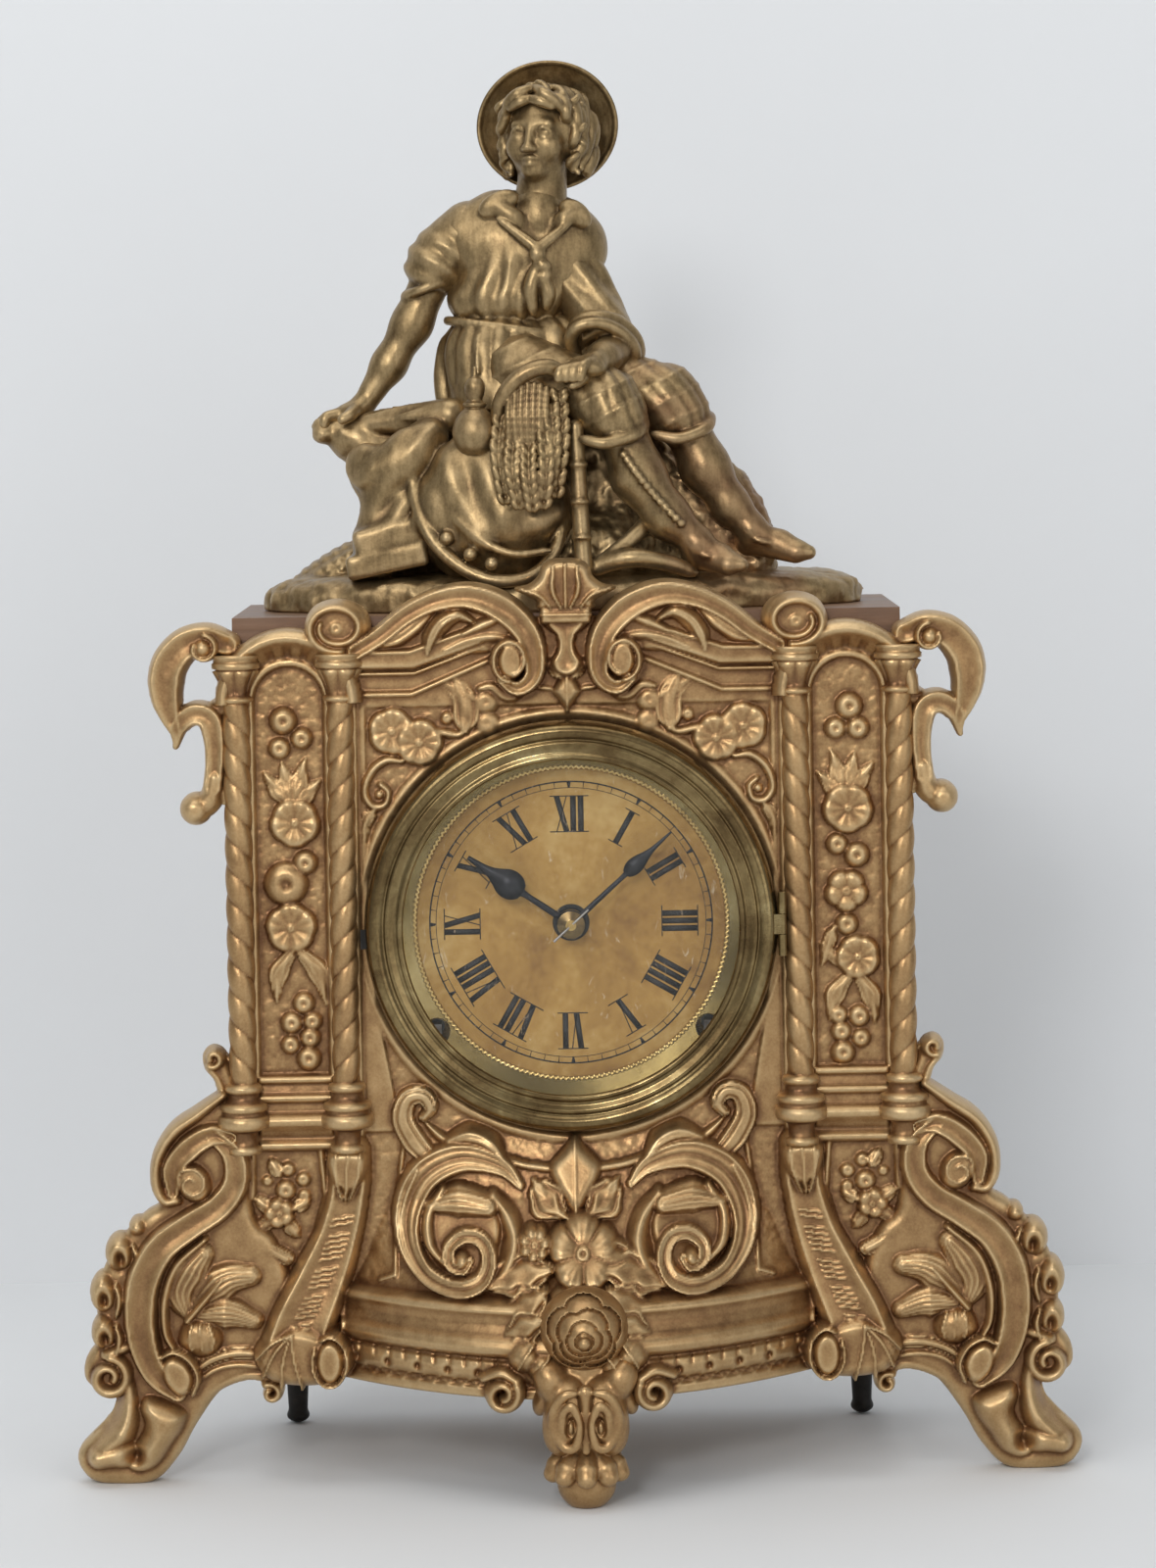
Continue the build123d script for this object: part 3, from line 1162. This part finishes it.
def strike_second_wheel():
    """Second wheel of the striking train, with the cam that lifts the hammer."""
    return wheel_on_arbor(
        STRIKE_SECOND_PLACE, (SECOND_TEETH, SECOND_MODULE), (SECOND_PINION_TEETH, MAIN_MODULE),
        SECOND_Y, pinion_front(MAIN_Y), STRIKE_PINION_PHASE,
    )


def strike_fly():
    """Air brake of the striking train: pinion, arbor and vane."""
    pinion_face = Pos(*FLY_PLACE) * gear_face(FLY_PINION_TEETH, SECOND_MODULE, FLY_PINION_PHASE)
    pinion_y = pinion_front(SECOND_Y)
    steel = arbor(FLY_PLACE) + slab(pinion_face, pinion_y + PINION_FACE, PINION_FACE)
    vane_y = TRAIN_Y + PLATE_GAP * MAIN_LAYER_SHARE
    vane = block(
        (FLY_PLACE[0] - FLY_WIDTH / 2, FLY_PLACE[0] + FLY_WIDTH / 2),
        (vane_y, vane_y + FLY_LENGTH),
        (FLY_PLACE[1] - FLY_SHEET / 2, FLY_PLACE[1] + FLY_SHEET / 2),
    )
    return Compound(children=[steel, vane - steel])


# Motion work between the dial and the front plate

CANNON_Y = PLATE_FRONT_Y - SIDE_CLEAR
CANNON_FACE = 2.0
HOUR_WHEEL_Y = CANNON_Y - CANNON_FACE - WHEEL_SHEET - 2 * SIDE_CLEAR
MINUTE_WHEEL_PHASE = mesh_phase(CANNON_TEETH, 0, CENTRE_PLACE, MINUTE_WHEEL_TEETH, MINUTE_WHEEL_PLACE)
HOUR_WHEEL_PHASE = mesh_phase(MINUTE_PINION_TEETH, 0, MINUTE_WHEEL_PLACE, HOUR_WHEEL_TEETH, CENTRE_PLACE)


def cannon_pinion():
    """Pinion and pipe that slip on the centre arbor and carry the minute hand."""
    face = Pos(*CENTRE_PLACE) * gear_face(CANNON_TEETH, CANNON_MODULE, 0)
    front_y = COLLET_Y - COLLET_THICK
    body = slab(face, CANNON_Y, CANNON_FACE) + rod_y(*CENTRE_PLACE, CANNON_PIPE_R, front_y, CANNON_Y)
    return body - rod_y(*CENTRE_PLACE, ARBOR_R + RUN_CLEAR, front_y - OVERRUN, CANNON_Y + OVERRUN)


def minute_wheel():
    """Idle wheel and pinion on the post of the front plate."""
    wheel_y = CANNON_Y - WHEEL_SHEET
    bore = ARBOR_R + RUN_CLEAR
    place = MINUTE_WHEEL_PLACE
    wheel = gear(MINUTE_WHEEL_TEETH, CANNON_MODULE, MINUTE_WHEEL_PHASE, place, wheel_y, WHEEL_SHEET, bore)
    length = wheel_y - HOUR_WHEEL_Y + SIDE_CLEAR
    pinion = gear(MINUTE_PINION_TEETH, HOUR_MODULE, 0, place, wheel_y - length, length, bore)
    return wheel + pinion


def hour_wheel():
    """Hour wheel on its pipe round the cannon pipe."""
    bore = CANNON_PIPE_R + RUN_CLEAR
    front_y = HOUR_HAND_Y - HAND_SHEET
    teeth = (HOUR_WHEEL_TEETH, HOUR_MODULE, HOUR_WHEEL_PHASE)
    wheel = gear(*teeth, CENTRE_PLACE, HOUR_WHEEL_Y, WHEEL_SHEET, bore)
    pipe = rod_y(*CENTRE_PLACE, HOUR_PIPE_R, front_y, HOUR_WHEEL_Y + WHEEL_SHEET)
    return wheel + pipe - rod_y(*CENTRE_PLACE, bore, front_y - OVERRUN, CANNON_Y)


# Escapement and pendulum, behind the back plate

PENDULUM_Y = MOVEMENT_BACK_Y + PENDULUM_Y_GAP
BOB_Z = VERGE_Z - PENDULUM_LENGTH


def suspension_cock():
    """Bracket on the back plate that carries the verge, with the suspension strip let into it."""
    low_z = VERGE_Z + COCK_HEIGHT / 2
    arm = block(
        (-COCK_WIDTH / 2, COCK_WIDTH / 2),
        (MOVEMENT_BACK_Y, PENDULUM_Y + COCK_WIDTH / 2),
        (low_z, low_z + COCK_HEIGHT),
    )
    foot = block(
        (-COCK_WIDTH / 2, COCK_WIDTH / 2),
        (MOVEMENT_BACK_Y, MOVEMENT_BACK_Y + PLATE_SHEET),
        (PLATE_TOP_Z - COCK_HEIGHT, low_z),
    )
    pivot = rod_y(*VERGE_PLACE, ARBOR_R, MOVEMENT_BACK_Y, ESCAPE_Y + 2 * WHEEL_SHEET)
    strip = block(
        (-SUSPENSION_STRIP / 2, SUSPENSION_STRIP / 2),
        (PENDULUM_Y - COCK_WIDTH / 4, PENDULUM_Y + COCK_WIDTH / 4),
        (VERGE_Z + SIDE_CLEAR, low_z + COCK_HEIGHT / 2),
    )
    return Compound(children=[arm + foot + pivot - strip, strip])


def verge():
    """Bent-strip verge with its two pallets, and the crutch that leads the pendulum."""
    front_y = ESCAPE_Y
    crutch_y = front_y + WHEEL_SHEET + SIDE_CLEAR
    reach = ESCAPE_R * PALLET_SPREAD_SHARE
    drop = VERGE_Z - ESCAPE_Z - math.sqrt((ESCAPE_R + PALLET_CLEAR + CRUTCH_WIRE) ** 2 - reach**2)
    low_z = VERGE_Z - drop
    strip = block((-reach, reach), (front_y, crutch_y), (VERGE_Z - drop / 2, VERGE_Z + 2 * ARBOR_R))
    for side in (-1, 1):
        ends = sorted((side * reach, side * (reach - CRUTCH_WIRE)))
        strip += block(ends, (front_y, crutch_y), (low_z, VERGE_Z - drop / 2))
    foot_z = ESCAPE_Z - 2 * ESCAPE_R
    wire = block(
        (-CRUTCH_WIRE / 2, CRUTCH_WIRE / 2),
        (crutch_y, crutch_y + CRUTCH_WIRE),
        (foot_z, VERGE_Z + ARBOR_R),
    )
    fork = block(
        (-2 * CRUTCH_WIRE, 2 * CRUTCH_WIRE),
        (crutch_y, PENDULUM_Y + 2 * CRUTCH_WIRE),
        (foot_z - CRUTCH_WIRE, foot_z),
    )
    slot = block(
        (-ROD_R - SIDE_CLEAR, ROD_R + SIDE_CLEAR),
        (PENDULUM_Y - 2 * ROD_R, PENDULUM_Y + 3 * CRUTCH_WIRE),
        (foot_z - 2 * CRUTCH_WIRE, foot_z + CRUTCH_WIRE),
    )
    bore = rod_y(*VERGE_PLACE, ARBOR_R + RUN_CLEAR, front_y - OVERRUN, crutch_y + CRUTCH_WIRE + OVERRUN)
    return strip + wire + fork - slot - bore


def pendulum_rod():
    """Rod with its hook at the top and its thread at the bottom."""
    low_z = BOB_Z - BOB_R - RATING_NUT_HEIGHT - 2 * BOB_TRAVEL - RATING_NUT_HEIGHT
    return bar((0, PENDULUM_Y, low_z), (0, PENDULUM_Y, VERGE_Z), ROD_R)


def pendulum_bob():
    """Lens-shaped bob that slides on the rod, on its rating nut."""
    half = BOB_THICK / 2
    profile = [(BOB_R * out, half * deep, 0) for out, deep in BOB_PROFILE_SHARES]
    outline = make_face(Polyline(*profile, close=True))
    bob = Pos(0, PENDULUM_Y, BOB_Z) * revolve(outline, Axis.Y)
    bob -= Pos(0, PENDULUM_Y, BOB_Z) * Cylinder(ROD_R + BOB_BORE_CLEAR, 2 * BOB_R + 2 * OVERRUN)
    nut = Cylinder(RATING_NUT_R, RATING_NUT_HEIGHT) - Cylinder(ROD_R + BOB_BORE_CLEAR, RATING_NUT_HEIGHT)
    return Compound(children=[bob, Pos(0, PENDULUM_Y, BOB_Z - BOB_R - RATING_NUT_HEIGHT / 2) * nut])


# Hammer and gong

GONG_Y = BACK_Y - BACK_PANEL - GONG_Y_GAP - GONG_WIRE
GONG_R = GONG_EYE_R + (GONG_TURNS - 0.5) * GONG_PITCH
HAMMER_Y = GONG_Y + GONG_WIRE / 2


def gong():
    """Flat coiled gong wire and the cast stand on the bottom board that grips its inner end."""
    strip = Pos(0, GONG_Z) * spiral_face(GONG_EYE_R, GONG_PITCH, GONG_WIRE, GONG_TURNS)
    coil = slab(strip, GONG_Y + GONG_WIRE, GONG_WIRE)
    half = GONG_BLOCK_SIDE / 2
    base_z = CASE_BOTTOM_Z + BOARD
    base = block((-half, half), (GONG_Y - GONG_BLOCK_SIDE, GONG_Y), (base_z, base_z + GONG_BLOCK_HEIGHT))
    post = block(
        (-GONG_WIRE, GONG_EYE_R + GONG_WIRE),
        (GONG_Y - 2 * GONG_WIRE, GONG_Y),
        (base_z, GONG_Z + GONG_WIRE),
    )
    return Compound(children=[coil, base + post])


def hammer():
    """Hammer arbor through the plates, with its rod and head above the gong's rim."""
    head_x = -GONG_R - HAMMER_HEAD_LENGTH / 2 - GONG_PITCH / 2 - HAMMER_REST_GAP
    spindle = rod_y(*HAMMER_PLACE, HAMMER_ARBOR_R, PLATE_FRONT_Y, HAMMER_Y + 2 * HAMMER_ROD_R)
    rod = bar((HAMMER_X, HAMMER_Y, HAMMER_Z), (head_x, HAMMER_Y, GONG_Z), HAMMER_ROD_R)
    head = Pos(head_x, HAMMER_Y, GONG_Z) * Rot(0, 90, 0) * Cylinder(HAMMER_HEAD_R, HAMMER_HEAD_LENGTH)
    return spindle + rod + head


# Seated figure, as separate castings that are soldered together

def figure_point(shares):
    """Point of the figure from its shares of length, depth and height."""
    across, deep, up = shares
    return (FIGURE_LENGTH * across, FIGURE_Y + FIGURE_DEPTH * deep, CASE_TOP_Z + FIGURE_HEIGHT * up)


def figure_stack(levels):
    """Body lofted through ellipses: height, place along X, then the half width and depth of each."""
    faces = []
    for up, across, half_wide, half_deep in levels:
        seat = Pos(FIGURE_LENGTH * across, FIGURE_Y, CASE_TOP_Z + FIGURE_HEIGHT * up)
        faces.append(seat * Ellipse(FIGURE_LENGTH * half_wide, FIGURE_DEPTH * half_deep))
    return loft(faces, ruled=True)


def limb(places, radii):
    """Chain of tapered bars with a ball at each joint."""
    points = [figure_point(shares) for shares in places]
    sizes = [FIGURE_HEIGHT * share for share in radii]
    body = Pos(*points[0]) * Sphere(sizes[0])
    for step in range(len(points) - 1):
        body += bar(points[step], points[step + 1], sizes[step], sizes[step + 1])
        body += Pos(*points[step + 1]) * Sphere(sizes[step + 1])
    return body


def ball(shares, radius_shares):
    """Ball of the figure, round or drawn out."""
    middle = figure_point(shares)
    if isinstance(radius_shares, float):
        return Pos(*middle) * Sphere(FIGURE_HEIGHT * radius_shares)
    return Pos(*middle) * scale(Sphere(1), by=tuple(FIGURE_HEIGHT * share for share in radius_shares))


def figure_base():
    """Ground slab with the threaded studs' holes."""
    ground = extrude(Ellipse(FIGURE_LENGTH / 2, FIGURE_DEPTH / 2), amount=FIGURE_SLAB)
    for side in (-1, 1):
        ground -= Pos(side * FIGURE_STUD_X, 0, 0) * Cylinder(FIGURE_STUD_R + SCREW_CLEAR, FIGURE_SLAB)
    return Pos(0, FIGURE_Y, CASE_TOP_Z) * ground


def figure_studs():
    """Studs in the slab with nuts under the top board."""
    studs = []
    low_z = CASE_TOP_Z - BOARD - FIGURE_NUT_HEIGHT
    high_z = CASE_TOP_Z + FIGURE_SLAB / 2
    for side in (-1, 1):
        x = side * FIGURE_STUD_X
        stud = bar((x, FIGURE_Y, low_z), (x, FIGURE_Y, high_z), FIGURE_STUD_R)
        nut = extrude(RegularPolygon(FIGURE_NUT_R, 6), amount=FIGURE_NUT_HEIGHT)
        studs.append(stud + Pos(x, FIGURE_Y, low_z) * nut)
    return Compound(children=studs)


def figure_hat():
    """Straw hat worn on the back of the head: brim and crown."""
    seat = Pos(*figure_point(HAT_PLACE_SHARES)) * Rot(90 - HAT_LEAN, 0, 0)
    brim = Cylinder(FIGURE_HEIGHT * HAT_BRIM_R_SHARE, FIGURE_HEIGHT * HAT_BRIM_SHARE)
    crown_height = FIGURE_HEIGHT * HAT_CROWN_SHARE
    crown_r = FIGURE_HEIGHT * HAT_CROWN_R_SHARE
    crown = Pos(0, 0, -crown_height / 2) * Cone(crown_r * HAT_TAPER_SHARE, crown_r, crown_height)
    return seat * (brim + crown)


def figure_head():
    """Head and neck."""
    start, end, low_r, high_r = NECK_SHARES
    neck = bar(figure_point(start), figure_point(end), FIGURE_HEIGHT * low_r, FIGURE_HEIGHT * high_r)
    return neck + ball(*HEAD_SHARES)


def wheat_sheaf():
    """Bound sheaf in the harvester's lap."""
    start, end, low_r, high_r = SHEAF_SHARES
    return bar(figure_point(start), figure_point(end), FIGURE_HEIGHT * low_r, FIGURE_HEIGHT * high_r)


def gourd_bottle():
    """Gourd bottle at the harvester's side."""
    return sum((ball(*part) for part in GOURD_SHARES[1:]), ball(*GOURD_SHARES[0]))


def figure_pieces():
    """Castings of the figure, each cut by those before it so that they meet face to face."""
    raw = {
        "figure_base": figure_base(),
        "figure_seat": figure_stack(SEAT_SHARES),
        "figure_torso": figure_stack(TORSO_SHARES),
        "figure_right_leg": limb(RIGHT_LEG_SHARES, LEG_R_SHARES),
        "figure_left_leg": limb(LEFT_LEG_SHARES, LEG_R_SHARES),
        "figure_right_arm": limb(RIGHT_ARM_SHARES, ARM_R_SHARES),
        "figure_left_arm": limb(LEFT_ARM_SHARES, ARM_R_SHARES),
        "figure_head": figure_head(),
        "figure_hat": figure_hat(),
        "wheat_sheaf": wheat_sheaf(),
        "gourd_bottle": gourd_bottle(),
    }
    pieces = {}
    for name, shape in raw.items():
        for earlier in raw:
            if earlier == name:
                break
            shape = shape - raw[earlier]
        pieces[name] = max(shape.solids(), key=lambda solid: solid.volume)
    return pieces


def all_pieces():
    """Every node of the clock by name."""
    pieces = case_boards()
    pieces.update(figure_pieces())
    makers = (
        back_panel, corner_blocks, casting_screws, rear_feet, back_door, back_hinge, back_door_knob,
        front_casting, bezel_ring, bezel_glass, bezel_hinge_leaf, case_hinge_leaf, bezel_catch,
        dial_plate, dial_paper, sight_ring, hour_hand, minute_hand, hand_collet, taper_pin,
        front_plate, back_plate, plate_pillars,
        second_wheel, centre_wheel, third_wheel, escape_wheel, strike_second_wheel, strike_fly,
        cannon_pinion, minute_wheel, hour_wheel,
        suspension_cock, verge, pendulum_rod, pendulum_bob, gong, hammer, figure_studs,
    )
    for maker in makers:
        pieces[maker.__name__] = maker()
    for name, place in (("time", TIME_MAIN_PLACE), ("strike", STRIKE_MAIN_PLACE)):
        pieces[f"{name}_main_wheel"] = main_wheel(place)
        pieces[f"{name}_winding_arbor"] = winding_arbor(place)
    pieces["time_mainspring"] = mainspring()
    pieces["strike_mainspring"] = mirrored(mainspring())
    return pieces


os.makedirs("parts", exist_ok=True)
for node, shape in all_pieces().items():
    export_step(shape, f"parts/{node}.step")
print("least gap in a mainspring", SPRING_PITCH - SPRING_STRIP, "and in the gong", GONG_PITCH - GONG_WIRE)
